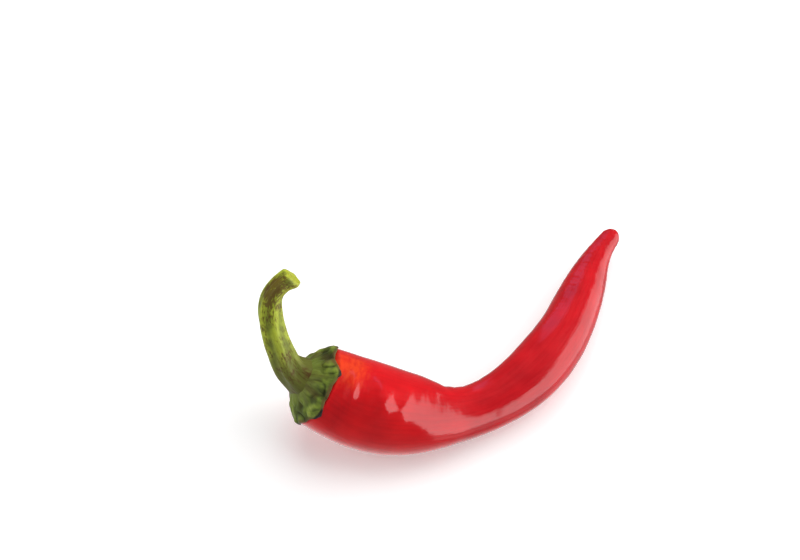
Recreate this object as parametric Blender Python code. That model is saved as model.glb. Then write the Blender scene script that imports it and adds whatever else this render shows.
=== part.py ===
# A fresh red chilli pepper, picked, lying on a level surface. Metres, +Z up.
#
# Three pieces: the pod, the green calyx that caps its shoulder, and the stem that rises from
# the calyx. The chord from the calyx to the tip runs along +X, the belly of the bend faces -Y,
# and the pod rests on the plane z = 0 with its underside pressed slightly flat.

import math

import bmesh
import bpy
import numpy as np
from mathutils import Vector

MM = 0.001
GAP = 0.3 * MM                 # clearance between pieces that touch

# The pod's centreline and radius, from the crown under the calyx to the tip: x, y, z, radius.
POD_STATIONS_MM = (
    (-42.2, 7.5, 17.2, 8.9),
    (-36.5, 2.2, 12.1, 10.2),
    (-30.4, -4.9, 9.7, 10.4),
    (-23.1, -11.3, 8.4, 8.9),
    (-14.8, -15.2, 6.4, 6.5),
    (-5.1, -16.9, 5.8, 6.2),
    (4.7, -16.3, 6.2, 6.7),
    (14.1, -13.5, 6.3, 6.7),
    (22.8, -8.9, 5.7, 6.1),
    (30.9, -3.4, 5.0, 5.2),
    (36.1, 0.2, 4.8, 4.2),
    (41.3, 3.2, 4.9, 3.0),
    (48.3, 5.9, 5.2, 2.1),
)
POD_SIDES = 40
CROWN_DEPTH = 3.6 * MM         # height of the crown above the pod's shoulder
CROWN_SHARPNESS = 1.5          # 1 gives a round crown, 2 a straight cone
CROWN_RINGS = 7
BODY_RINGS = 38
TIP_DEPTH = 2.6 * MM           # length of the rounded tip
TIP_RINGS = 4

# The calyx follows the crown. Its places are crown turns: 0 at the pole, 1 at the shoulder.
CALYX_SIDES = 60
CALYX_TEETH = (8, 72, 130, 190, 250, 312)  # degrees around the crown, 0 at the top
CALYX_NOTCH = 0.84             # where the rim lies between two teeth
CALYX_TOOTH = 0.30             # how much further the point of a tooth reaches
CALYX_TOOTH_WIDTH = math.radians(24)       # from a tooth's point to its foot
CALYX_THICKNESS_MM = ((0.0, 1.05), (0.2, 1.3), (0.35, 1.7), (0.5, 1.15), (0.7, 0.7), (1.3, 0.4))
CALYX_RINGS = 9

# The stem's centreline and radius, from the calyx to the cut end: x, y, z, radius.
STEM_STATIONS_MM = (
    (-43.2, 8.5, 18.2, 4.15),
    (-44.0, 9.9, 19.9, 3.55),
    (-44.5, 11.7, 22.3, 3.2),
    (-44.6, 13.6, 24.8, 3.0),
    (-44.5, 15.5, 27.5, 2.85),
    (-43.9, 17.5, 30.3, 2.75),
    (-43.0, 19.2, 32.6, 2.6),
    (-41.5, 20.4, 34.5, 2.4),
    (-39.7, 20.9, 35.7, 2.3),
    (-37.8, 21.0, 36.4, 2.3),
    (-35.5, 20.6, 36.8, 2.3),
)
STEM_SIDES = 20
STEM_RINGS = 22
STEM_RIDGES = 5
STEM_RIDGE_HEIGHT = 0.05       # share of the stem's radius
STEM_TWIST = math.radians(70)  # turn of the ridges from one end to the other
STEM_FOOT = 4.0 * MM           # over this length the stem turns from the calyx's axis to its own
STEM_CUT = (0.82, -0.11, 0.57)             # the cut faces partly upward
STEM_CUT_LENGTH = 5.0 * MM     # over this length the rings lean towards the cut

COLOURS = {                    # linear RGB and roughness
    "pod": ((0.68, 0.015, 0.012), 0.22),
    "calyx": ((0.10, 0.17, 0.03), 0.65),
    "stem": ((0.27, 0.35, 0.05), 0.60),
}


def clear_scene():
    """Remove every object of the scene the script starts in."""
    for existing in list(bpy.data.objects):
        bpy.data.objects.remove(existing)


def unit(rows):
    """Rows of vectors at length one."""
    return rows / np.linalg.norm(rows, axis=-1, keepdims=True)


class Spine:
    """A natural cubic spline through stations of x, y, z, radius, by distance along it."""

    def __init__(self, stations_mm):
        self.values = np.array(stations_mm) * MM
        steps = np.linalg.norm(np.diff(self.values[:, :3], axis=0), axis=1)
        self.knots = np.concatenate([[0.0], np.cumsum(steps)])
        self.length = self.knots[-1]
        count = len(self.knots)
        system = np.eye(count)
        target = np.zeros_like(self.values)
        for i in range(1, count - 1):
            system[i, i - 1] = steps[i - 1]
            system[i, i] = 2 * (steps[i - 1] + steps[i])
            system[i, i + 1] = steps[i]
            rise = (self.values[i + 1] - self.values[i]) / steps[i]
            fall = (self.values[i] - self.values[i - 1]) / steps[i - 1]
            target[i] = 6 * (rise - fall)
        self.bend = np.linalg.solve(system, target)

    def at(self, distance):
        """Centre, unit direction and radius at each distance; straight beyond the ends."""
        distance = np.atleast_1d(np.asarray(distance, float))
        inside = np.clip(distance, 0.0, self.length)
        low = np.clip(np.searchsorted(self.knots, inside, "right") - 1, 0, len(self.knots) - 2)
        span = (self.knots[low + 1] - self.knots[low])[:, None]
        right = (inside - self.knots[low])[:, None] / span
        left = 1 - right
        start, end = self.values[low], self.values[low + 1]
        bend_start, bend_end = self.bend[low], self.bend[low + 1]
        place = left * start + right * end
        place = place + ((left**3 - left) * bend_start + (right**3 - right) * bend_end) * span**2 / 6
        slope = (end - start) / span
        slope = slope + ((1 - 3 * left**2) * bend_start + (3 * right**2 - 1) * bend_end) * span / 6
        direction = unit(slope[:, :3])
        centre = place[:, :3] + direction * (distance - inside)[:, None]
        return centre, direction, place[:, 3]


def upright_frames(direction):
    """The across and the most nearly upward unit vector, square to each direction."""
    world_up = np.array([0.0, 0.0, 1.0])
    up = unit(world_up - direction * (direction @ world_up)[:, None])
    return np.cross(direction, up), up


def carried_frames(direction, first):
    """Across and up vectors carried along the directions without turning about them."""
    ups = []
    carried = np.array(first, float)
    for heading in direction:
        carried = carried - heading * (heading @ carried)
        carried = carried / np.linalg.norm(carried)
        ups.append(carried)
    up = np.array(ups)
    return np.cross(direction, up), up


def rings_around(centre, across, up, radius, angles):
    """Points at each angle around each centre; radius is per ring, or per ring and angle."""
    radius = np.broadcast_to(np.reshape(radius, (len(centre), -1, 1)), (len(centre), len(angles), 1))
    around = np.cos(angles)[None, :, None] * up[:, None]
    around = around + np.sin(angles)[None, :, None] * across[:, None]
    return centre[:, None] + radius * around


def even_angles(count):
    """Angles of count points around a circle, the first one on top."""
    return np.arange(count) * 2 * math.pi / count


def closed_skin(name, rings, first_pole, last_pole):
    """An object skinned over rings of equal count, closed at both ends by fans to a pole."""
    mesh = bpy.data.meshes.new(name)
    skin = bmesh.new()
    rows = [[skin.verts.new(Vector(point)) for point in ring] for ring in rings]
    first = skin.verts.new(Vector(first_pole))
    last = skin.verts.new(Vector(last_pole))
    sides = len(rows[0])
    for i in range(sides):
        j = (i + 1) % sides
        skin.faces.new((first, rows[0][j], rows[0][i]))
        skin.faces.new((last, rows[-1][i], rows[-1][j]))
        for near, far in zip(rows[:-1], rows[1:]):
            skin.faces.new((near[i], near[j], far[j], far[i]))
    bmesh.ops.recalc_face_normals(skin, faces=skin.faces)
    bmesh.ops.triangulate(skin, faces=skin.faces)
    skin.to_mesh(mesh)
    skin.free()
    mesh.shade_smooth()
    made = bpy.data.objects.new(name, mesh)
    bpy.context.scene.collection.objects.link(made)
    return made


def finish(made):
    """Give an object its own material."""
    colour, roughness = COLOURS[made.name]
    material = bpy.data.materials.new(made.name)
    material.use_nodes = True
    shader = material.node_tree.nodes["Principled BSDF"]
    shader.inputs["Base Color"].default_value = (*colour, 1.0)
    shader.inputs["Roughness"].default_value = roughness
    shader.inputs["Metallic"].default_value = 0.0
    made.data.materials.append(material)


def crown_rings(spine, turns, angles):
    """Rings of the pod's surface near the calyx. turns is 0 at the pole of the rounded crown
    and 1 at the shoulder, and it may differ from angle to angle."""
    turns = np.broadcast_to(turns, (len(turns), len(angles)))
    quarter = np.minimum(turns, 1.0) * math.pi / 2
    past = np.maximum(turns - 1.0, 0.0) * math.pi / 2
    distance = CROWN_DEPTH * (1 - np.cos(quarter) ** CROWN_SHARPNESS + past)
    centre, direction, radius = spine.at(distance.ravel())
    across, up = upright_frames(direction)
    angle = np.broadcast_to(angles, turns.shape).ravel()[:, None]
    reach = (radius * np.sin(quarter).ravel() ** CROWN_SHARPNESS)[:, None]
    points = centre + reach * (np.cos(angle) * up + np.sin(angle) * across)
    return points.reshape(*turns.shape, 3)


def make_pod(spine):
    """The pod: a rounded crown, a bent and tapering body and a blunt tip, resting on z = 0."""
    angles = even_angles(POD_SIDES)
    crown = crown_rings(spine, np.linspace(0, 1, CROWN_RINGS + 1)[1:, None], angles)
    tip_start = spine.length - TIP_DEPTH
    tip_turn = np.linspace(0, math.pi / 2, TIP_RINGS + 1)[:-1]
    body_at = np.linspace(CROWN_DEPTH, tip_start, BODY_RINGS + 1)[1:-1]
    tip_at = tip_start + TIP_DEPTH * np.sin(tip_turn)
    centre, direction, radius = spine.at(np.concatenate([body_at, tip_at]))
    across, up = upright_frames(direction)
    radius[-TIP_RINGS:] *= np.cos(tip_turn)
    body = rings_around(centre, across, up, radius, angles)
    rings = np.concatenate([crown, body])
    rings[..., 2] = np.maximum(rings[..., 2], 0.0)
    poles = spine.at([0.0, spine.length])[0]
    return closed_skin("pod", rings, poles[0], poles[1])


def make_calyx(spine):
    """The calyx: a cap with pointed teeth that lies over the crown, GAP clear of the pod."""
    angles = even_angles(CALYX_SIDES)
    away = angles[:, None] - np.radians(CALYX_TEETH)
    away = np.abs((away + math.pi) % (2 * math.pi) - math.pi).min(axis=1)
    rim = CALYX_NOTCH + CALYX_TOOTH * np.clip(1 - away / CALYX_TOOTH_WIDTH, 0, 1)
    share = np.linspace(0, 1, CALYX_RINGS + 1)[1:, None]
    turns = share * rim
    base = crown_rings(spine, turns, angles)
    step = 1e-3
    along = crown_rings(spine, turns + step, angles) - base
    around = crown_rings(spine, turns, angles + step) - base
    outward = unit(np.cross(around, along))
    centre, direction, _ = spine.at(0.0)
    if np.sum(outward[-1, 0] * (base[-1, 0] - centre[0])) < 0:
        outward = -outward
    turn_mm, thickness_mm = zip(*CALYX_THICKNESS_MM)
    thickness = np.interp(turns, turn_mm, thickness_mm)[..., None] * MM
    inner = base + GAP * outward
    outer = base + (GAP + thickness) * outward
    rings = np.concatenate([outer, inner[::-1]])
    crown_pole = centre[0] - GAP * direction[0]
    top_pole = crown_pole - thickness_mm[0] * MM * direction[0]
    return closed_skin("calyx", rings, top_pole, crown_pole)


def make_stem(spine, pod_spine):
    """The stem: a bent, softly ridged stalk that twists a little and ends in a straight cut.
    Its foot lies flat on the calyx."""
    share = np.linspace(0, 1, STEM_RINGS + 1)
    centre, direction, radius = spine.at(share * spine.length)
    crown_axis = -pod_spine.at(0.0)[1]
    turned = np.clip(share * spine.length / STEM_FOOT, 0, 1)[:, None]
    turned = turned**2 * (3 - 2 * turned)
    direction = unit((1 - turned) * crown_axis + turned * direction)
    across, up = carried_frames(direction, (1.0, 0.0, 0.3))
    angles = even_angles(STEM_SIDES)
    ridges = np.cos(STEM_RIDGES * (angles[None] - STEM_TWIST * share[:, None]))
    reach = radius[:, None] * (1 + STEM_RIDGE_HEIGHT * ridges)
    rings = rings_around(centre, across, up, reach, angles)
    cut = unit(np.array(STEM_CUT))
    lean = np.clip(1 - (1 - share) * spine.length / STEM_CUT_LENGTH, 0, 1) ** 2
    slide = -((rings - centre[:, None]) @ cut) / (direction @ cut)[:, None]
    rings = rings + direction[:, None] * (slide * lean[:, None])[..., None]
    return closed_skin("stem", rings, centre[0], centre[-1])


def main():
    """Build the chilli's three pieces."""
    clear_scene()
    pod_spine = Spine(POD_STATIONS_MM)
    stem_spine = Spine(STEM_STATIONS_MM)
    finish(make_pod(pod_spine))
    finish(make_calyx(pod_spine))
    finish(make_stem(stem_spine, pod_spine))


main()
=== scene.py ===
# A fresh red chilli on a pale surface, in soft studio light.

import math

import bpy
import numpy as np
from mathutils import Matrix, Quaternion, Vector, noise


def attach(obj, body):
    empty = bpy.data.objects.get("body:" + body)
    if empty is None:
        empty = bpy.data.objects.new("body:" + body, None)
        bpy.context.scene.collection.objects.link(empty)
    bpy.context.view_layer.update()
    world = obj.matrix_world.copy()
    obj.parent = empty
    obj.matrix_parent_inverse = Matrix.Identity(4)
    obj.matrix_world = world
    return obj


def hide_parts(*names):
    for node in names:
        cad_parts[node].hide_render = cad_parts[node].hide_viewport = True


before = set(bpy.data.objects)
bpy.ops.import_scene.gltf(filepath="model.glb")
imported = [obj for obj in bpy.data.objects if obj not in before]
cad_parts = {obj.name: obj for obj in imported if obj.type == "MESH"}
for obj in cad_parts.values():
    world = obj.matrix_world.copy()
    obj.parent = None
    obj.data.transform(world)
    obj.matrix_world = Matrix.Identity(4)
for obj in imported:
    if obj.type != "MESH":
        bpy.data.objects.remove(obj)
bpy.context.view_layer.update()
mm = 0.001                               # lengths are in metres unless a note says mm
fullTurn = 2 * math.pi


def hexColour(code):                     # "#rrggbb" as the linear colour that sockets hold
    parts = [int(code[i:i + 2], 16) / 255 for i in (1, 3, 5)]
    linear = [c / 12.92 if c <= 0.04045 else ((c + 0.055) / 1.055) ** 2.4 for c in parts]
    return (*linear, 1.0)


def unit(rows):
    return rows / np.linalg.norm(rows, axis=-1, keepdims=True)


def ease(value, start, end):             # 0 before start, 1 after end, smooth between
    share = np.clip((value - start) / (end - start), 0, 1)
    return share * share * (3 - 2 * share)


def hump(value, middle, width):          # a smooth rise to 1 at the middle
    return np.exp(-((value - middle) / width) ** 2)


def turnFrom(angle, middle):             # signed angle from the middle, wrapped to half a turn
    return (angle - middle + math.pi) % fullTurn - math.pi


def facing(angle, side, span):           # 1 on the side that faces so many degrees from the top
    return hump(turnFrom(angle, math.radians(side)), 0, math.radians(span))


def noiseAt(points, seed):               # smooth noise, about -1 to 1, one value per point
    apart = 13.7                         # one seed's place in the noise to the next
    flat = points.reshape(-1, 3) + apart * seed
    return np.array([noise.noise(Vector(p)) for p in flat]).reshape(points.shape[:-1])


def grainPoints(along, angle, across):   # a space that runs along a piece and closes around it
    along, angle = np.broadcast_arrays(along, angle)
    return np.stack([along, across * np.cos(angle), across * np.sin(angle)], axis=-1)


def makeSpine(stations):                 # natural cubic spline through x, y, z, radius in mm
    values = np.array(stations) * mm
    steps = np.linalg.norm(np.diff(values[:, :3], axis=0), axis=1)
    knots = np.concatenate([[0.0], np.cumsum(steps)])
    system = np.eye(len(knots))
    target = np.zeros_like(values)
    for i in range(1, len(knots) - 1):
        system[i, i - 1:i + 2] = steps[i - 1], 2 * (steps[i - 1] + steps[i]), steps[i]
        rise = (values[i + 1] - values[i]) / steps[i]
        fall = (values[i] - values[i - 1]) / steps[i - 1]
        target[i] = 6 * (rise - fall)
    bend = np.linalg.solve(system, target)

    def at(distance):                    # centre, unit direction and radius
        inside = np.clip(distance, 0.0, knots[-1])
        low = np.clip(np.searchsorted(knots, inside, "right") - 1, 0, len(knots) - 2)
        span = (knots[low + 1] - knots[low])[:, None]
        right = (inside - knots[low])[:, None] / span
        left = 1 - right
        bow = (left ** 3 - left) * bend[low] + (right ** 3 - right) * bend[low + 1]
        place = left * values[low] + right * values[low + 1] + bow * span ** 2 / 6
        tilt = (1 - 3 * left ** 2) * bend[low] + (3 * right ** 2 - 1) * bend[low + 1]
        slope = (values[low + 1] - values[low]) / span + tilt * span / 6
        direction = unit(slope[:, :3])
        centre = place[:, :3] + direction * (distance - inside)[:, None]
        return centre, direction, place[:, 3]

    return at, knots[-1]


def uprightFrames(direction):            # across and the most nearly upward vector
    worldUp = np.array([0.0, 0.0, 1.0])
    up = unit(worldUp - direction * (direction @ worldUp)[:, None])
    return np.cross(direction, up), up


def carriedFrames(direction, first):     # across and up, carried along without turning
    ups = []
    carried = np.array(first, float)
    for heading in direction:
        carried = unit(carried - heading * (heading @ carried))
        ups.append(carried)
    up = np.array(ups)
    return np.cross(direction, up), up


def gridNormals(points):                 # outward normals of rings that close around
    around = np.roll(points, -1, axis=1) - np.roll(points, 1, axis=1)
    along = np.gradient(points, axis=0)
    return unit(np.cross(around, along))


# one closed mesh over rings of equal count, with a value per point for each trait
def skinOver(name, rings, firstPole, lastPole, traits):
    count, sides = rings.shape[:2]
    points = np.concatenate([rings.reshape(-1, 3), [firstPole, lastPole]])
    row = np.arange(sides)
    ahead = np.roll(row, -1)
    start = (np.arange(count - 1) * sides)[:, None]
    quads = np.stack([start + row, start + sides + row, start + sides + ahead, start + ahead], -1)
    last = (count - 1) * sides
    fans = [(count * sides, int(a), int(b)) for a, b in zip(row, ahead)]
    fans += [(count * sides + 1, int(last + b), int(last + a)) for a, b in zip(row, ahead)]
    mesh = bpy.data.meshes.new(name)
    mesh.from_pydata(points.tolist(), [], quads.reshape(-1, 4).tolist() + fans)
    mesh.shade_smooth()
    for trait, values in traits.items():
        vector = values.ndim == 3
        kind, field = ("FLOAT_VECTOR", "vector") if vector else ("FLOAT", "value")
        flat = values.reshape(-1, 3) if vector else values.reshape(-1)
        ends = np.array([values[0].mean(axis=0), values[-1].mean(axis=0)])
        attribute = mesh.attributes.new(trait, kind, "POINT")
        attribute.data.foreach_set(field, np.concatenate([flat, ends]).ravel())
    piece = bpy.data.objects.new(name, mesh)
    bpy.context.scene.collection.objects.link(piece)
    return piece


# Sockets go by name, or by number where names repeat: a colour Mix has its share at 0, its two
# colours at 6 and 7, and gives its result at 2.
def addNode(tree, kind, inputs=None, stops=None, **settings):
    node = tree.nodes.new("ShaderNode" + kind)
    for name, value in settings.items():
        setattr(node, name, value)
    for socket, value in (inputs or {}).items():
        if isinstance(value, bpy.types.NodeSocket):
            tree.links.new(value, node.inputs[socket])
        else:
            node.inputs[socket].default_value = value
    if stops:                            # places and colours of a ramp
        ramp = node.color_ramp
        while len(ramp.elements) < len(stops):
            ramp.elements.new(0.5)
        for element, (place, colour) in zip(ramp.elements, stops):
            element.position = place
            element.color = colour
    return node


def grey(level):
    return (level, level, level, 1.0)


def tones(places, codes):                # the stops of a colour ramp
    return [(place, hexColour(code)) for place, code in zip(places, codes)]


def levels(places, amounts):             # the stops of a grey one, for shares and roughness
    return [(place, grey(amount)) for place, amount in zip(places, amounts)]


def newMaterial(name):                   # its tree, with the shader already in place
    material = bpy.data.materials.new(name)
    material.use_nodes = True
    tree = material.node_tree
    return material, tree, tree.nodes["Principled BSDF"]


# The pod: a bent loft, folded across its shoulder.
pod = {
    # centreline and radius in mm, from the crown under the calyx to the tip
    "stations": [
        (-42.2, 7.5, 17.2, 8.9), (-36.5, 2.2, 12.1, 10.2), (-30.4, -4.9, 9.7, 10.4),
        (-23.1, -11.3, 8.4, 8.9), (-14.8, -15.2, 6.4, 6.5), (-5.1, -16.9, 5.8, 6.2),
        (4.7, -16.3, 6.2, 6.7), (14.1, -13.5, 6.3, 6.7), (22.8, -8.9, 5.7, 6.1),
        (30.9, -3.4, 5.0, 5.2), (36.1, 0.2, 4.8, 4.2), (41.3, 3.2, 4.9, 3.0),
        (48.3, 5.9, 5.2, 2.1),
    ],
    "crownDepth": 3.6,                   # mm
    "crownSharpness": 1.5,               # 1 gives a round crown, 2 a straight cone
    "tipDepth": 2.6,                     # mm
    "sides": 208,                        # points round each ring
    "crownRings": 24,
    "bodyRings": 350,
    "tipRings": 18,
    # folds across the shoulder, then creases inside the bend: place along, height and width in mm,
    # and the side each faces and its span around, in degrees from the top
    "folds": [
        (9.8, 1.60, 2.7, 21, 22), (19.4, 1.42, 2.9, 21, 20), (24.3, 0.46, 1.6, 14, 28),
        (27.0, 0.13, 1.6, 14, 26), (29.5, 0.42, 3.4, -85, 34), (35.6, -0.60, 1.1, -85, 36),
        (38.6, -0.14, 0.6, -78, 30), (41.4, -0.10, 0.6, -75, 30), (46.5, -0.07, 0.6, -75, 30),
    ],
    # where the shoulder drops to the narrower body: from, to and height in mm, then side and span
    "drop": (17.0, 33.0, 2.2, 24, 42),
    "swell": (4, 20, 0.6),               # before the drop: from and to in mm, share of its height
    "rise": (15, 55, 0.4),               # and after it
    # blunt corners round the shoulder: count, turn in radians, height in mm, and where they fade
    "lobes": (3, 0.8, 0.12, 14, 34),
    # slow swellings: length along in mm, changes around, height in mm, seed
    "swellings": [(11, 1.0, 0.15, 1), (3.4, 1.6, 0.05, 2)],
    # how far folds stray along the pod, in the same terms
    "stray": (9, 1.3, 1.1, 4),
    # fine wrinkles: the same again, then how much higher they get near the tip, from where to where
    "wrinkles": (0.9, 2.2, 0.014, 3, 0.075, 72, 95),
    # a shallow groove near the tip: side in degrees, half its width in radians, depth in mm, and
    # the places in mm between which it comes and goes
    "groove": (-22, 0.22, 0.16, (60, 72), (88, 100)),
    # the unripe patch: orange until and red from, in mm, side in degrees, half its width in radians
    "unripe": (8, 19, -8, 0.55),
    "deepens": (14, 50),                 # mm along over which the red grows deeper
    "grainRadius": 8.0,                  # mm, about the pod's own, so patterns keep their size around
    "brightReds": ("#c80f18", "#d51219", "#df161b"),  # behind the calyx, cloudy from dark to light
    "deepReds": ("#b40d18", "#c1111b", "#cb141d"),  # from the bend to the tip
    "orange": "#ea451c",
    "roughness": (0.10, 0.17),           # on and between the streaks
    "refraction": 1.48,                  # index of plant wax
}
podSpine, podLength = makeSpine(pod["stations"])
crownDepth = pod["crownDepth"] * mm


def crownPoints(turns, angle):           # turns: 0 at the pole under the stem, 1 at the shoulder
    turns, angle = np.broadcast_arrays(turns, angle)
    quarter = np.minimum(turns, 1.0) * math.pi / 2
    past = np.maximum(turns - 1.0, 0.0) * math.pi / 2  # beyond the shoulder, along the body
    distance = crownDepth * (1 - np.cos(quarter) ** pod["crownSharpness"] + past)
    centre, direction, radius = podSpine(distance.ravel())
    across, up = uprightFrames(direction)
    flat = angle.ravel()[:, None]
    reach = (radius * np.sin(quarter).ravel() ** pod["crownSharpness"])[:, None]
    points = centre + reach * (np.cos(flat) * up + np.sin(flat) * across)
    return points.reshape(*turns.shape, 3), distance


def crownFade(turns):                    # how much of the pod's relief shows on its crown
    return np.sin(np.minimum(turns, 1.0) * math.pi / 2)


def podRelief(along, angle):             # mm above the smooth pod; along in mm
    size, across, far, seed = pod["stray"]
    strayed = along + far * noiseAt(grainPoints(along / size, angle, across), seed)
    relief = 0.0
    for place, height, width, side, span in pod["folds"]:
        relief = relief + height * hump(strayed, place, width) * facing(angle, side, span)
    start, end, height, side, span = pod["drop"]
    swellStart, swellEnd, swell = pod["swell"]
    riseStart, riseEnd, rise = pod["rise"]
    lift = swell * ease(strayed, swellStart, swellEnd) - ease(strayed, start, end)
    lift = lift + rise * ease(strayed, end + riseStart, end + riseEnd)
    relief = relief + height * lift * facing(angle, side, span)
    count, turn, height, start, end = pod["lobes"]
    relief = relief + height * (1 - ease(along, start, end)) * np.cos(count * angle + turn)
    for size, across, height, seed in pod["swellings"]:
        relief = relief + height * noiseAt(grainPoints(along / size, angle, across), seed)
    size, across, height, seed, more, start, end = pod["wrinkles"]
    height = height + more * ease(along, start, end)
    relief = relief + height * noiseAt(grainPoints(along / size, angle, across), seed)
    side, width, depth, comes, goes = pod["groove"]
    groove = hump(turnFrom(angle, math.radians(side)), 0, width) * ease(along, *comes)
    return relief - depth * groove * (1 - ease(along, *goes))


def makePod():
    angle = np.arange(pod["sides"]) * fullTurn / pod["sides"]
    turns = np.linspace(0, 1, pod["crownRings"] + 1)[1:, None]
    crown, crownAlong = crownPoints(turns, angle)
    # the body's rings, then those of the round tip
    tipStart = podLength - pod["tipDepth"] * mm
    tipTurn = np.linspace(0, math.pi / 2, pod["tipRings"] + 1)[:-1]
    bodyAlong = np.linspace(crownDepth, tipStart, pod["bodyRings"] + 1)[1:-1]
    bodyAlong = np.concatenate([bodyAlong, tipStart + pod["tipDepth"] * mm * np.sin(tipTurn)])
    centre, direction, radius = podSpine(bodyAlong)
    radius[-pod["tipRings"]:] *= np.cos(tipTurn)
    across, up = uprightFrames(direction)
    around = np.cos(angle)[None, :, None] * up[:, None] + np.sin(angle)[None, :, None] * across[:, None]
    body = centre[:, None] + radius[:, None, None] * around
    rings = np.concatenate([crown, body])
    along = np.concatenate([crownAlong[:, 0], bodyAlong])[:, None] / mm
    # the relief settles to nothing at both poles, and the belly lies flat on the surface
    settle = np.concatenate([crownFade(turns).ravel(), np.ones(len(bodyAlong))])
    settle[-pod["tipRings"]:] *= np.cos(tipTurn)
    rings = rings + gridNormals(rings) * (podRelief(along, angle) * settle[:, None])[..., None] * mm
    rings[..., 2] = np.maximum(rings[..., 2], 0.0)
    orangeUntil, redFrom, side, width = pod["unripe"]
    shaded = hump(turnFrom(angle, math.radians(side)), 0, width)[None, :]
    unripe = (1 - ease(along, orangeUntil, redFrom)) * shaded
    deep = np.broadcast_to(ease(along, *pod["deepens"]), unripe.shape)
    poles = podSpine(np.array([0.0, podLength]))[0]
    grain = grainPoints(along, angle, pod["grainRadius"])
    traits = {"grain": grain, "unripe": unripe, "deep": deep}
    return skinOver("pod_skin", rings, poles[0], poles[1], traits)


def chilliSkin():
    # Ripe chilli skin: a thin waxed cuticle grown over red flesh. The wax gives sharp, wet-looking
    # lights, and fine wrinkles across the fruit break up their edges.
    material, tree, shader = newMaterial("waxed_chilli_skin")
    grain = addNode(tree, "Attribute", attribute_name="grain").outputs["Vector"]
    unripe = addNode(tree, "Attribute", attribute_name="unripe").outputs["Fac"]
    deep = addNode(tree, "Attribute", attribute_name="deep").outputs["Fac"]
    # cloudy ripening, patches about 7 mm across
    cloud = addNode(tree, "TexNoise", {"Vector": grain, "Scale": 0.14, "Detail": 3.0}).outputs["Fac"]
    clouds = (0.30, 0.52, 0.72)
    bright = addNode(tree, "ValToRGB", {"Fac": cloud}, tones(clouds, pod["brightReds"])).outputs[0]
    dark = addNode(tree, "ValToRGB", {"Fac": cloud}, tones(clouds, pod["deepReds"])).outputs[0]
    red = addNode(tree, "Mix", {0: deep, 6: bright, 7: dark}, data_type="RGBA")
    # streaks along the fruit, 0.6 mm wide and some 8 mm long
    stretch = addNode(tree, "Mapping", {"Vector": grain, "Scale": (0.12, 1.6, 1.6)})
    streak = addNode(tree, "TexNoise", {"Vector": stretch.outputs[0], "Scale": 1.0, "Detail": 4.0})
    streakTone = addNode(tree, "ValToRGB", {"Fac": streak.outputs["Fac"]},
                         levels((0.35, 0.6), (0.86, 1.0)))
    streaked = addNode(tree, "Mix", {0: 0.6, 6: red.outputs[2], 7: streakTone.outputs[0]},
                       data_type="RGBA", blend_type="MULTIPLY").outputs[2]
    # the last orange of the unripe skin, broken into freckles of 1 mm
    freckle = addNode(tree, "TexNoise", {"Vector": grain, "Scale": 0.9, "Detail": 4.0}).outputs["Fac"]
    patch = addNode(tree, "Math", {0: unripe, 1: freckle, 2: -0.12}, operation="MULTIPLY_ADD")
    orangeShare = addNode(tree, "ValToRGB", {"Fac": patch.outputs[0]},
                          levels((0.02, 0.42), (0.0, 0.8)))
    skin = addNode(tree, "Mix", {0: orangeShare.outputs[0], 6: streaked, 7: hexColour(pod["orange"])},
                   data_type="RGBA").outputs[2]
    tree.links.new(skin, shader.inputs["Base Color"])
    # wrinkles across the fruit about 0.5 mm apart, drawn 0.8 mm apart to show
    crossing = addNode(tree, "Mapping", {"Vector": grain, "Scale": (1.25, 0.22, 0.22)})
    wrinkle = addNode(tree, "TexNoise", {"Vector": crossing.outputs[0], "Scale": 1.0, "Detail": 3.0})
    fine = addNode(tree, "Bump", {
        "Height": wrinkle.outputs["Fac"], "Strength": 0.42, "Distance": 0.05 * mm})
    # shallow furrows under the streaks
    furrow = addNode(tree, "Bump", {
        "Height": streak.outputs["Fac"], "Strength": 0.3, "Distance": 0.12 * mm,
        "Normal": fine.outputs[0]})
    # the skin's cells, 0.1 mm, drawn 0.25 mm to show
    cells = addNode(tree, "TexNoise", {"Vector": grain, "Scale": 4.0, "Detail": 2.0})
    bump = addNode(tree, "Bump", {
        "Height": cells.outputs["Fac"], "Strength": 0.12, "Distance": 0.02 * mm,
        "Normal": furrow.outputs[0]})
    tree.links.new(bump.outputs[0], shader.inputs["Normal"])
    gloss = addNode(tree, "ValToRGB", {"Fac": streak.outputs["Fac"]},
                    levels((0.3, 0.7), pod["roughness"]))
    tree.links.new(gloss.outputs[0], shader.inputs["Roughness"])
    shader.inputs["IOR"].default_value = pod["refraction"]
    return material


podSkin = makePod()
podSkin.data.materials.append(chilliSkin())
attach(podSkin, "root")
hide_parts("pod")
print("pod made")


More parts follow.
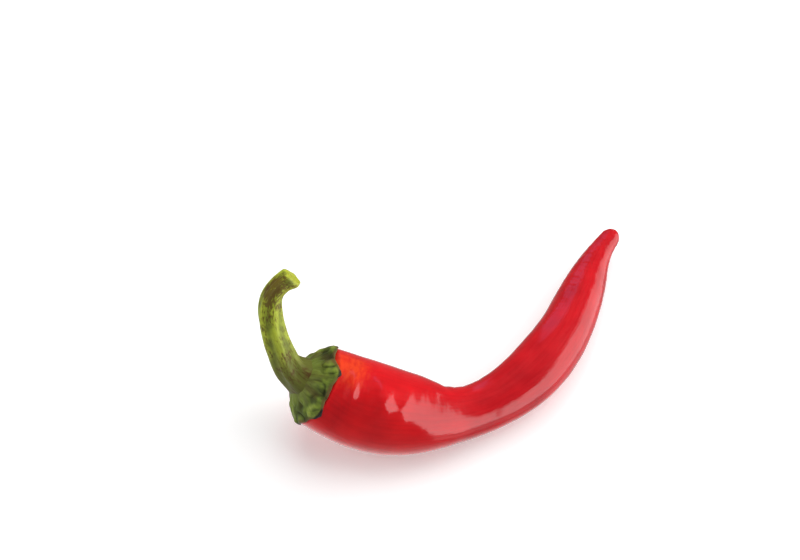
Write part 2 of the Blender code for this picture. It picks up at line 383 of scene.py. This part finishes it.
# The calyx: a toothed cap that follows the pod's crown.
calyx = {
    "sides": 384,
    "outerRings": 110,
    "edgeRings": 5,
    "innerRings": 26,
    "clearance": 0.08,                   # mm between the calyx and the pod under it
    "teeth": [8, 72, 130, 190, 250, 312],  # degrees round from the top
    "reach": [0.27, 0.30, 0.28, 0.30, 0.30, 0.26],  # crown turns of each tooth past the rim
    "notches": [0.85, 0.89, 0.86, 0.84, 0.82, 0.78],  # crown turns of the rim after each tooth
    "toothWidth": 0.36,                  # radians from a tooth's middle to its foot
    "toothShape": 1.4,                   # 1 gives straight sides, more gives hollow ones
    # the torn rim: changes around, height in crown turns, seed
    "tears": [(3.0, 0.05, 21), (9.0, 0.03, 22)],
    # crown turns and the thickness there, mm
    "thickness": [
        (0.0, 1.27), (0.2, 1.57), (0.35, 1.95), (0.5, 1.50), (0.62, 1.25), (0.72, 0.85),
        (0.85, 0.55), (1.0, 0.42), (1.2, 0.30),
    ],
    "leastThickness": 0.22,              # mm
    "edgeBulge": 0.16,                   # mm that the rounded edge stands out
    "ridgeWidth": 0.27,                  # radians from a ridge's middle to its side
    "valleyWidth": 0.13,
    "warp": 0.22,                        # radians that ridges and valleys stray
    # how strongly each form shows in the folds
    "forms": {"ridge": 0.30, "valley": -0.45, "crumple": 0.60, "lumps": 0.40, "crease": -0.50},
    "spread": (0.30, 0.62),              # crown turns over which the folds begin
    "foldHeight": 0.75,                  # mm
    "rimCalm": 0.72,                     # share of the folds lost at the rim
    "rimFrom": 0.80,                     # share of the way out where the rim begins
    "driedFrom": (0.93, 1.06),           # crown turns over which the points have dried
    "neck": (0.36, 0.66),                # crown turns over which the stalk's colour ends
    "grainSize": (7.0, 8.0),             # mm in a crown turn, and the radius for patterns around
    # from dark to light: painted shade in the valleys, then a painted highlight on the ridges
    "greens": ("#2e3210", "#52601f", "#74862c", "#95a33e"),  # from the valleys to the ridges
    "neckGreen": "#788635",
    "patchBrown": "#544a20",
    "rimBrown": "#66512a",
    "driedBlack": "#1d1a10",
    "roughness": (0.42, 0.62),
    "refraction": 1.42,                  # index of leaf tissue
}


def makeCalyx():
    angle = np.arange(calyx["sides"]) * fullTurn / calyx["sides"]
    following = calyx["teeth"][1:] + [calyx["teeth"][0] + 360]
    middles = [(tooth + after) / 2 for tooth, after in zip(calyx["teeth"], following)]
    rim = np.interp(np.degrees(angle), middles, calyx["notches"], period=360)
    for tooth, reach in zip(calyx["teeth"], calyx["reach"]):
        away = np.abs(turnFrom(angle, math.radians(tooth)))
        rim = rim + reach * np.clip(1 - away / calyx["toothWidth"], 0, 1) ** calyx["toothShape"]
    for across, height, seed in calyx["tears"]:
        rim = rim + height * noiseAt(grainPoints(0 * angle, angle, across), seed)
    share = np.linspace(0, 1, calyx["outerRings"] + 1)[1:, None]
    turns = share * rim
    base, along = crownPoints(turns, angle)
    outward = gridNormals(base)
    angleGrid = np.broadcast_to(angle, turns.shape)
    # a ridge runs to each tooth and a valley to each notch, with crumples, lumps and creases across
    warped = angleGrid + calyx["warp"] * noiseAt(grainPoints(turns * 2.2, angleGrid, 1.4), 23)
    ridge = np.zeros_like(turns)
    valley = np.zeros_like(turns)
    for tooth, middle in zip(calyx["teeth"], middles):
        ridge = ridge + hump(turnFrom(warped, math.radians(tooth)), 0, calyx["ridgeWidth"])
        valley = valley + hump(turnFrom(warped, math.radians(middle)), 0, calyx["valleyWidth"])
    creased = 1 - np.abs(noiseAt(grainPoints(turns * 3.0, angleGrid, 3.4), 25)) * 2
    forms = {
        "ridge": ridge,
        "valley": valley,
        "crumple": noiseAt(grainPoints(turns * 3.6, angleGrid, 2.2), 24),
        "lumps": noiseAt(grainPoints(turns * 8.0, angleGrid, 5.0), 26),
        "crease": np.clip(creased, 0, 1) ** 3,
    }
    foldAndPaintedShade = sum(strength * forms[form] for form, strength in calyx["forms"].items())
    foldAndPaintedShade = ease(turns, *calyx["spread"]) * foldAndPaintedShade
    toRim = ease(share, calyx["rimFrom"], 1.0)
    places, thick = zip(*calyx["thickness"])
    folded = calyx["foldHeight"] * foldAndPaintedShade * (1 - calyx["rimCalm"] * toRim)
    thickness = np.maximum(np.interp(turns, places, thick) + folded, calyx["leastThickness"])
    # it lies on the pod's own relief, a hair above it
    clearance = calyx["clearance"]
    under = podRelief(along / mm, angleGrid) * crownFade(turns) + clearance
    outer = base + outward * ((under + thickness) * mm)[..., None]
    inner = base + outward * (under * mm)[..., None]
    edgeShare = np.linspace(0, 1, calyx["edgeRings"] + 2)[1:-1, None, None]
    pushed = unit(base[-1] - base[-2]) * calyx["edgeBulge"] * mm
    edge = outer[-1] * (1 - edgeShare) + inner[-1] * edgeShare
    edge = edge + pushed * np.sin(edgeShare * math.pi)
    # the underside needs fewer rings, from the edge back towards the pole
    innerPick = np.linspace(calyx["outerRings"] - 1, 3, calyx["innerRings"]).astype(int)
    rings = np.concatenate([outer, edge, inner[innerPick]])

    def alsoInside(values):              # a trait carried over the edge and the underside
        edgeValues = np.repeat(values[-1:], calyx["edgeRings"], 0)
        return np.concatenate([values, edgeValues, values[innerPick]])

    centre, direction, _ = podSpine(np.array([0.0]))
    innerPole = centre[0] - clearance * mm * direction[0]
    topPole = innerPole - thick[0] * mm * direction[0]
    outSize, aroundSize = calyx["grainSize"]
    traits = {
        "grain": alsoInside(grainPoints(turns * outSize, angleGrid, aroundSize)),
        # the fold's height, which the sepal material also turns into painted shade and painted
        # highlight
        "foldAndPaintedShade": alsoInside(foldAndPaintedShade),
        "tips": alsoInside(ease(turns, *calyx["driedFrom"])),
        "rim": alsoInside(np.broadcast_to(toRim, turns.shape)),
        "neck": alsoInside(1 - ease(turns, *calyx["neck"])),
    }
    return skinOver("calyx_cap", rings, topPole, innerPole, traits)


def sepalSkin():
    # Fresh sepals: thick leaf tissue that dried from its rim inward. It gives the eye a dull
    # green with painted shade in the folds and painted highlights on the ridges,
    # brown at the rim and nearly black at the points.
    material, tree, shader = newMaterial("dull_green_sepal")
    grain = addNode(tree, "Attribute", attribute_name="grain").outputs["Vector"]
    foldAndPaintedShade = addNode(tree, "Attribute", attribute_name="foldAndPaintedShade").outputs["Fac"]
    tips = addNode(tree, "Attribute", attribute_name="tips").outputs["Fac"]
    # mottling 1.5 mm across
    mottle = addNode(tree, "TexNoise", {"Vector": grain, "Scale": 0.65, "Detail": 5.0}).outputs["Fac"]
    # painted shade and highlight: the fold's height darkens the valleys and lightens the ridges, with
    # mottling on top
    height = addNode(tree, "Math", {0: foldAndPaintedShade, 1: 0.42}, operation="MULTIPLY")
    tone = addNode(tree, "Math", {0: height.outputs[0], 1: mottle}, operation="ADD")
    green = addNode(tree, "ValToRGB", {"Fac": tone.outputs[0]},
                    tones((0.20, 0.42, 0.60, 0.84), calyx["greens"]))
    # yellower where it runs into the stalk
    neck = addNode(tree, "Attribute", attribute_name="neck").outputs["Fac"]
    green = addNode(tree, "Mix", {0: neck, 6: green.outputs[0], 7: hexColour(calyx["neckGreen"])},
                    data_type="RGBA")
    # browned patches 4 mm across
    drift = addNode(tree, "TexNoise", {"Vector": grain, "Scale": 0.25, "Detail": 4.0})
    brownShare = addNode(tree, "ValToRGB", {"Fac": drift.outputs["Fac"]},
                         levels((0.48, 0.64), (0.0, 0.7)))
    green = addNode(tree, "Mix", {
        0: brownShare.outputs[0], 6: green.outputs[2], 7: hexColour(calyx["patchBrown"])},
        data_type="RGBA")
    # fine veins towards the points, 0.4 mm apart
    stretch = addNode(tree, "Mapping", {"Vector": grain, "Scale": (0.35, 2.4, 2.4)})
    vein = addNode(tree, "TexNoise", {"Vector": stretch.outputs[0], "Scale": 1.0, "Detail": 4.0})
    veinTone = addNode(tree, "ValToRGB", {"Fac": vein.outputs["Fac"]},
                       levels((0.35, 0.62), (0.80, 1.0)))
    veined = addNode(tree, "Mix", {0: 0.8, 6: green.outputs[2], 7: veinTone.outputs[0]},
                     data_type="RGBA", blend_type="MULTIPLY").outputs[2]
    # points dried black, with an uneven border
    dried = addNode(tree, "Math", {0: tips, 1: mottle}, operation="MULTIPLY").outputs[0]
    driedShare = addNode(tree, "ValToRGB", {"Fac": dried}, levels((0.04, 0.28), (0.0, 1.0)))
    # a brown, drying edge 0.4 mm wide
    rim = addNode(tree, "Attribute", attribute_name="rim").outputs["Fac"]
    edge = addNode(tree, "Math", {0: rim, 1: mottle}, operation="MULTIPLY").outputs[0]
    edgeShare = addNode(tree, "ValToRGB", {"Fac": edge}, levels((0.26, 0.48), (0.0, 0.8)))
    edged = addNode(tree, "Mix", {0: edgeShare.outputs[0], 6: veined, 7: hexColour(calyx["rimBrown"])},
                    data_type="RGBA").outputs[2]
    skin = addNode(tree, "Mix", {0: driedShare.outputs[0], 6: edged, 7: hexColour(calyx["driedBlack"])},
                   data_type="RGBA").outputs[2]
    tree.links.new(skin, shader.inputs["Base Color"])
    coarse = addNode(tree, "Bump", {
        "Height": vein.outputs["Fac"], "Strength": 0.4, "Distance": 0.08 * mm})
    # leather-like grain of 0.3 mm
    pores = addNode(tree, "TexNoise", {"Vector": grain, "Scale": 3.2, "Detail": 4.0})
    bump = addNode(tree, "Bump", {
        "Height": pores.outputs["Fac"], "Strength": 0.45, "Distance": 0.08 * mm,
        "Normal": coarse.outputs[0]})
    tree.links.new(bump.outputs[0], shader.inputs["Normal"])
    gloss = addNode(tree, "ValToRGB", {"Fac": mottle}, levels((0.3, 0.7), calyx["roughness"]))
    tree.links.new(gloss.outputs[0], shader.inputs["Roughness"])
    shader.inputs["IOR"].default_value = calyx["refraction"]
    return material


calyxCap = makeCalyx()
calyxCap.data.materials.append(sepalSkin())
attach(calyxCap, "root")
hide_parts("calyx")
print("calyx made")


# The stem: a ridged stalk that turns off the calyx, hooks over and ends in a cut.
stem = {
    # centreline and radius in mm, from the calyx to the cut end
    "stations": [
        (-43.2, 8.5, 18.2, 4.15), (-44.0, 9.9, 19.9, 3.55), (-44.5, 11.7, 22.3, 3.2),
        (-44.6, 13.6, 24.8, 3.0), (-44.5, 15.5, 27.5, 2.85), (-43.9, 17.5, 30.3, 2.75),
        (-43.0, 19.2, 32.6, 2.6), (-41.5, 20.4, 34.5, 2.4), (-39.7, 20.9, 35.7, 2.3),
        (-37.8, 21.0, 36.4, 2.3), (-35.5, 20.6, 36.8, 2.3),
    ],
    "sides": 144,
    "rings": 300,
    "cutRings": 26,
    "foot": 4.0,                         # mm over which the stem turns off the calyx's axis
    "ridges": 5,
    "ridgeHeight": 0.075,                # share of the radius
    "ridgeSharpness": 0.8,               # 1 gives round ridges, less gives blunter ones
    "ridgeStray": 0.25,                  # radians
    "ridgeCalm": (0.5, 2.5),             # share of the ridges lost at the foot, and over how many mm
    "twist": 75,                         # degrees from one end to the other
    "ridgeTurn": 20,                     # degrees
    # swellings of its skin: length along in mm, changes around, share of the radius, seed
    "swellings": [(3.0, 1.6, 0.035, 42), (5.0, 6.0, 0.016, 43)],
    "ragged": 0.5,                       # how uneven the foot's edge is
    "flare": (0.17, 0.5),                # widening of the foot: share of the radius, length in mm
    "skirt": (1.6, 0.45),                # its run down over the calyx: depth and length, mm
    "collar": (0.05, 2.6),               # swelling before the cut: share of the radius, length in mm
    "cutEdge": (0.20, 0.9),              # rounding of the cut's edge: the same
    "cut": (0.82, -0.11, 0.57),          # the way that the cut faces, partly upward
    "cutLength": 5.0,                    # mm over which the stem leans into the cut
    "cutFibre": 0.10,                    # mm, the roughness of the cut face
    "cutRim": 0.16,                      # mm, the raised ring inside its edge
    "pithDepth": 0.35,                   # mm, the sunken middle
    # the weathered side of the bend: mm before the cut, half its length in mm, radians back from
    # the top, and how much of it runs along the whole stem
    "weathered": (4.2, 2.6, 2.1, 0.2),
    "footFade": (0.5, 13),               # mm along over which the foot's colour ends
    "grainRadius": 2.6,                  # mm
    "greens": ("#767f25", "#94a12a", "#b2be35"),  # from between the ridges to their tops
    "footGreen": "#656825",
    "cork": "#553812",
    "pith": ("#8e9422", "#b2b72f"),
    "roughness": (0.38, 0.58),
    "refraction": 1.42,                  # index of plant fibre
}


def makeStem():
    at, length = makeSpine(stem["stations"])
    angle = np.arange(stem["sides"]) * fullTurn / stem["sides"]
    share = np.linspace(0, 1, stem["rings"] + 1)
    centre, direction, radius = at(share * length)
    # it leaves square to the calyx, then follows its own line
    crownAxis = -podSpine(np.array([0.0]))[1]
    turned = ease(share * length, 0, stem["foot"] * mm)[:, None]
    direction = unit((1 - turned) * crownAxis + turned * direction)
    across, up = carriedFrames(direction, (1.0, 0.0, 0.3))
    along = (share * length / mm)[:, None]
    twist = math.radians(stem["twist"]) * share[:, None] + math.radians(stem["ridgeTurn"])
    bowed = angle[None] - twist + stem["ridgeStray"] * noiseAt(grainPoints(along / 7, angle, 0.8), 41)
    ridges = np.cos(stem["ridges"] * bowed)
    sharp = np.sign(ridges) * np.abs(ridges) ** stem["ridgeSharpness"]
    calm, run = stem["ridgeCalm"]
    relief = stem["ridgeHeight"] * sharp * (1 - calm * hump(along, 0, run))
    for size, spread, height, seed in stem["swellings"]:
        relief = relief + height * noiseAt(grainPoints(along / size, angle, spread), seed)
    ragged = 1 + stem["ragged"] * noiseAt(grainPoints(along * 0, angle, 2.4), 45)
    height, run = stem["flare"]
    flare = height * ragged * np.exp(-along / run)
    collar, collarLength = stem["collar"]
    edge, edgeLength = stem["cutEdge"]
    end = length / mm
    rounded = np.clip(1 - (end - along) / edgeLength, 0, 1)
    flare = flare + collar * ease(along, end - collarLength, end - edgeLength) - edge * rounded ** 2.5
    reach = radius[:, None] * (1 + relief + flare)
    around = np.cos(angle)[None, :, None] * up[:, None] + np.sin(angle)[None, :, None] * across[:, None]
    side = centre[:, None] + reach[..., None] * around
    depth, run = stem["skirt"]
    skirt = depth * ragged * np.exp(-along / run)
    side = side - crownAxis[0] * (skirt * mm)[..., None]
    cutFace = unit(np.array(stem["cut"]))
    lean = np.clip(1 - (end - along[:, 0]) / stem["cutLength"], 0, 1) ** 2
    slide = -((side - centre[:, None]) @ cutFace) / (direction @ cutFace)[:, None]
    side = side + direction[:, None] * (slide * lean[:, None])[..., None]
    # the cut face: a fibrous ring round a sunken pith
    inward = np.linspace(1, 0, stem["cutRings"] + 1)[1:-1]
    cutAlong = np.broadcast_to(inward[:, None], (len(inward), len(angle)))
    fibre = noiseAt(grainPoints(cutAlong * 3, angle, 5.0), 44)
    level = stem["cutFibre"] * np.sin(cutAlong * math.pi) * fibre
    level = level + stem["cutRim"] * hump(cutAlong, 0.86, 0.12)
    level = level - stem["pithDepth"] * hump(cutAlong, 0, 0.5)
    cut = centre[-1] + inward[:, None, None] * (side[-1] - centre[-1])[None]
    cut = cut + cutFace * (level * mm)[..., None]
    rings = np.concatenate([side, cut])
    # what the material needs to know, carried from the side over the cut
    cutShare = np.concatenate([np.broadcast_to(ease(along, end - 0.5, end), side.shape[:2]),
                               np.ones(cut.shape[:2])])
    alongAll = np.concatenate([np.broadcast_to(along, side.shape[:2]), end + (1 - cutAlong) * 2])
    ridgeAll = np.concatenate([ridges, np.repeat(ridges[-1:], len(cut), 0)])
    beforeCut, halfLength, back, always = stem["weathered"]
    weathered = always + hump(alongAll, end - beforeCut, halfLength)
    angleAll = np.broadcast_to(angle, alongAll.shape)
    traits = {
        "foot": 1 - ease(alongAll, *stem["footFade"]),
        "grain": grainPoints(alongAll, angleAll, stem["grainRadius"]),
        "ridge": ridgeAll,
        "cut": cutShare,
        "weather": weathered * np.maximum(np.cos(angle + back), 0) ** 3,
    }
    lastPole = centre[-1] - cutFace * stem["pithDepth"] * mm
    return skinOver("stem_stalk", rings, centre[0], lastPole, traits)


def stalkSkin():
    # Fresh green stalk: a ribbed, fibrous shoot that was cut across. It gives the eye yellower
    # ribs, brown corky flecks and a pale, fibrous cut.
    material, tree, shader = newMaterial("ribbed_green_stalk")
    grain = addNode(tree, "Attribute", attribute_name="grain").outputs["Vector"]
    ridge = addNode(tree, "Attribute", attribute_name="ridge").outputs["Fac"]
    cut = addNode(tree, "Attribute", attribute_name="cut").outputs["Fac"]
    mottle = addNode(tree, "TexNoise", {"Vector": grain, "Scale": 0.5, "Detail": 4.0}).outputs["Fac"]
    lift = addNode(tree, "Math", {0: ridge, 1: 0.2}, operation="MULTIPLY")
    tone = addNode(tree, "Math", {0: lift.outputs[0], 1: mottle}, operation="ADD")
    green = addNode(tree, "ValToRGB", {"Fac": tone.outputs[0]},
                    tones((0.25, 0.46, 0.70), stem["greens"]))
    # darker where it widens into the calyx
    foot = addNode(tree, "Attribute", attribute_name="foot").outputs["Fac"]
    green = addNode(tree, "Mix", {0: foot, 6: green.outputs[0], 7: hexColour(stem["footGreen"])},
                    data_type="RGBA")
    # fibres along the stalk, 0.25 mm apart
    stretch = addNode(tree, "Mapping", {"Vector": grain, "Scale": (0.18, 3.2, 3.2)})
    fibre = addNode(tree, "TexNoise", {"Vector": stretch.outputs[0], "Scale": 1.0, "Detail": 4.0})
    fibreTone = addNode(tree, "ValToRGB", {"Fac": fibre.outputs["Fac"]},
                        levels((0.32, 0.6), (0.74, 1.0)))
    fibred = addNode(tree, "Mix", {0: 0.8, 6: green.outputs[2], 7: fibreTone.outputs[0]},
                     data_type="RGBA", blend_type="MULTIPLY").outputs[2]
    # corky flecks, 0.25 mm wide and 0.8 mm long, in drifts of 4 mm, thickest on the bend
    weather = addNode(tree, "Attribute", attribute_name="weather").outputs["Fac"]
    flecked = addNode(tree, "Mapping", {"Vector": grain, "Scale": (1.2, 3.2, 3.2)})
    fleck = addNode(tree, "TexNoise", {"Vector": flecked.outputs[0], "Scale": 1.0, "Detail": 5.0})
    drift = addNode(tree, "TexNoise", {"Vector": grain, "Scale": 0.28, "Detail": 2.0})
    browned = addNode(tree, "Math", {0: weather, 1: 0.4, 2: drift.outputs["Fac"]},
                      operation="MULTIPLY_ADD")
    cork = addNode(tree, "Math", {0: fleck.outputs["Fac"], 1: browned.outputs[0]}, operation="MULTIPLY")
    corkShare = addNode(tree, "ValToRGB", {"Fac": cork.outputs[0]},
                        levels((0.27, 0.40), (0.0, 0.85)))
    corky = addNode(tree, "Mix", {0: corkShare.outputs[0], 6: fibred, 7: hexColour(stem["cork"])},
                    data_type="RGBA").outputs[2]
    pith = addNode(tree, "ValToRGB", {"Fac": fibre.outputs["Fac"]},
                   tones((0.3, 0.65), stem["pith"]))
    skin = addNode(tree, "Mix", {0: cut, 6: corky, 7: pith.outputs[0]}, data_type="RGBA").outputs[2]
    tree.links.new(skin, shader.inputs["Base Color"])
    bump = addNode(tree, "Bump", {
        "Height": fibre.outputs["Fac"], "Strength": 0.6, "Distance": 0.12 * mm})
    tree.links.new(bump.outputs[0], shader.inputs["Normal"])
    gloss = addNode(tree, "ValToRGB", {"Fac": fleck.outputs["Fac"]},
                    levels((0.3, 0.7), stem["roughness"]))
    tree.links.new(gloss.outputs[0], shader.inputs["Roughness"])
    shader.inputs["IOR"].default_value = stem["refraction"]
    return material


stemStalk = makeStem()
stemStalk.data.materials.append(stalkSkin())
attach(stemStalk, "root")
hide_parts("stem")
print("stem made")


# The studio: a pale board under a pale sky, with one camera and soft lamps.
studio = {
    "floorSize": 0.64,                   # m; past it the backdrop is just as bright
    "floorDrop": 0.02,                   # mm below what lies on it
    "floorColour": "#ececec",
    "floorGlow": 0.32,                   # lit from under, as on a light table
    "skyColour": "#ffffff",
    "skySeen": 1.0,                      # how bright the backdrop looks
    "skyFill": 0.15,                     # how much light it gives
    "lowGlow": 1.0,                      # and how much more straight from below, for the skin's gloss
    "lowFall": 4.0,                      # how fast that fades towards the horizon
}
camera = {
    "aim": (-5.5, 21.6, 10.0),           # mm
    "azimuth": -35,                      # degrees; 0 looks along +Y
    "elevation": 55,
    "distance": 533,                     # mm
    "lens": 100,                         # mm
    "sensor": 36,                        # mm
    "nearest": 0.01,                     # m
}
lampAim = (0, 0, 10)                     # mm, about the middle of the chilli
# Each lamp's azimuth is from the camera's own, 90 to its right; azimuth, elevation and roll are in
# degrees, distance, width and height in mm. "down" shifts it along its own face, in mm, and "fade"
# is how bright its far end is beside its near end.
lamps = {
    "key": {"azimuth": 158, "elevation": 58, "distance": 800, "width": 1000, "height": 1000,
            "watts": 6.7, "lights": "diffuse"},
    "sideFill": {"azimuth": 90, "elevation": 25, "distance": 420, "width": 400, "height": 400,
                 "watts": 1.5, "lights": "diffuse"},
    "frontFill": {"azimuth": -20, "elevation": 35, "distance": 700, "width": 500, "height": 500,
                  "watts": 0.45, "lights": "diffuse"},
    "softbox": {"azimuth": 86, "elevation": 4, "roll": -13, "distance": 418, "width": 850,
                "height": 450, "fade": 0.4, "watts": 4.35, "lights": "glossy"},
    "lowBox": {"azimuth": 84, "elevation": 4, "roll": -13, "distance": 418, "width": 850,
               "height": 300, "down": 375, "fade": 0.4, "watts": 0.65, "lights": "glossy"},
    "edgeFill": {"azimuth": -95, "elevation": 20, "distance": 600, "width": 400, "height": 400,
                 "watts": 1.5, "lights": "diffuse"},
    "coolCard": {"azimuth": -172, "elevation": 26, "roll": 16, "distance": 600, "width": 130,
                 "height": 430, "watts": 0.13, "colour": "#c4bcff", "lights": "glossy"},
}


def towards(azimuth, elevation):         # unit vector from the object; azimuth 0 is along -Y
    turn, lift = math.radians(azimuth), math.radians(elevation)
    return Vector((math.sin(turn) * math.cos(lift), -math.cos(turn) * math.cos(lift), math.sin(lift)))


def makeFloor():
    bpy.ops.mesh.primitive_plane_add(size=studio["floorSize"],
                                     location=(0, 0, -studio["floorDrop"] * mm))
    floor = bpy.context.object
    floor.name = "pale_floor"
    material, tree, shader = newMaterial("matt_white_board")
    place = addNode(tree, "TexCoord").outputs["Object"]
    # paper tooth, 0.5 mm
    tooth = addNode(tree, "TexNoise", {"Vector": place, "Scale": 2000.0, "Detail": 2.0})
    bump = addNode(tree, "Bump", {
        "Height": tooth.outputs["Fac"], "Strength": 0.1, "Distance": 0.02 * mm})
    tree.links.new(bump.outputs[0], shader.inputs["Normal"])
    shader.inputs["Base Color"].default_value = hexColour(studio["floorColour"])
    shader.inputs["Roughness"].default_value = 0.75
    shader.inputs["Emission Color"].default_value = hexColour(studio["floorColour"])
    shader.inputs["Emission Strength"].default_value = studio["floorGlow"]
    floor.data.materials.append(material)
    floor.visible_glossy = False


def makeSky():                           # a backdrop that looks white and gives little light
    world = bpy.context.scene.world or bpy.data.worlds.new("studio")
    bpy.context.scene.world = world
    world.use_nodes = True
    tree = world.node_tree
    background = tree.nodes["Background"]
    background.inputs["Color"].default_value = hexColour(studio["skyColour"])
    seen = addNode(tree, "LightPath").outputs["Is Camera Ray"]
    heading = addNode(tree, "TexCoord").outputs["Generated"]
    height = addNode(tree, "SeparateXYZ", {"Vector": heading}).outputs["Z"]
    low = addNode(tree, "Math", {0: height, 1: 0.0}, operation="MINIMUM").outputs[0]
    lower = addNode(tree, "Math", {0: low, 1: studio["lowFall"]}, operation="POWER").outputs[0]
    fill = addNode(tree, "Math", {0: lower, 1: studio["lowGlow"], 2: studio["skyFill"]},
                   operation="MULTIPLY_ADD").outputs[0]
    strength = addNode(tree, "MapRange", {
        "Value": seen, "To Min": fill, "To Max": studio["skySeen"]})
    tree.links.new(strength.outputs[0], background.inputs["Strength"])


def makeLamps():
    for name, plan in lamps.items():
        light = bpy.data.lights.new(name, "AREA")
        light.shape = "RECTANGLE"
        light.size = plan["width"] * mm
        light.size_y = plan["height"] * mm
        light.energy = plan["watts"]
        light.color = hexColour(plan.get("colour", "#ffffff"))[:3]
        lamp = bpy.data.objects.new(name, light)
        bpy.context.scene.collection.objects.link(lamp)
        away = towards(camera["azimuth"] + plan["azimuth"], plan["elevation"])
        lamp.location = Vector(lampAim) * mm + away * plan["distance"] * mm
        roll = Quaternion((0, 0, 1), math.radians(plan.get("roll", 0)))
        aimed = away.to_track_quat("Z", "Y") @ roll
        lamp.rotation_euler = aimed.to_euler()
        lamp.location -= aimed @ Vector((0, plan.get("down", 0) * mm, 0))
        lamp.visible_camera = False
        lamp.visible_diffuse = plan["lights"] == "diffuse"
        lamp.visible_glossy = plan["lights"] == "glossy"
        if "fade" in plan:
            light.use_nodes = True
            tree = light.node_tree
            place = addNode(tree, "NewGeometry").outputs["Parametric"]
            across = addNode(tree, "SeparateXYZ", {"Vector": place}).outputs["X"]
            share = addNode(tree, "MapRange", {"Value": across, "To Min": 1.0, "To Max": plan["fade"]})
            tree.links.new(share.outputs[0], tree.nodes["Emission"].inputs["Strength"])


def makeCamera():
    eye = bpy.data.cameras.new("studio_camera")
    eye.lens = camera["lens"]
    eye.sensor_width = camera["sensor"]
    eye.clip_start = camera["nearest"]
    made = bpy.data.objects.new("studio_camera", eye)
    bpy.context.scene.collection.objects.link(made)
    away = towards(camera["azimuth"], camera["elevation"])
    made.location = Vector(camera["aim"]) * mm + away * camera["distance"] * mm
    made.rotation_euler = away.to_track_quat("Z", "Y").to_euler()
    bpy.context.scene.camera = made


makeFloor()
makeSky()
makeLamps()
makeCamera()
bpy.context.scene.view_settings.view_transform = "Standard"
print("studio made")
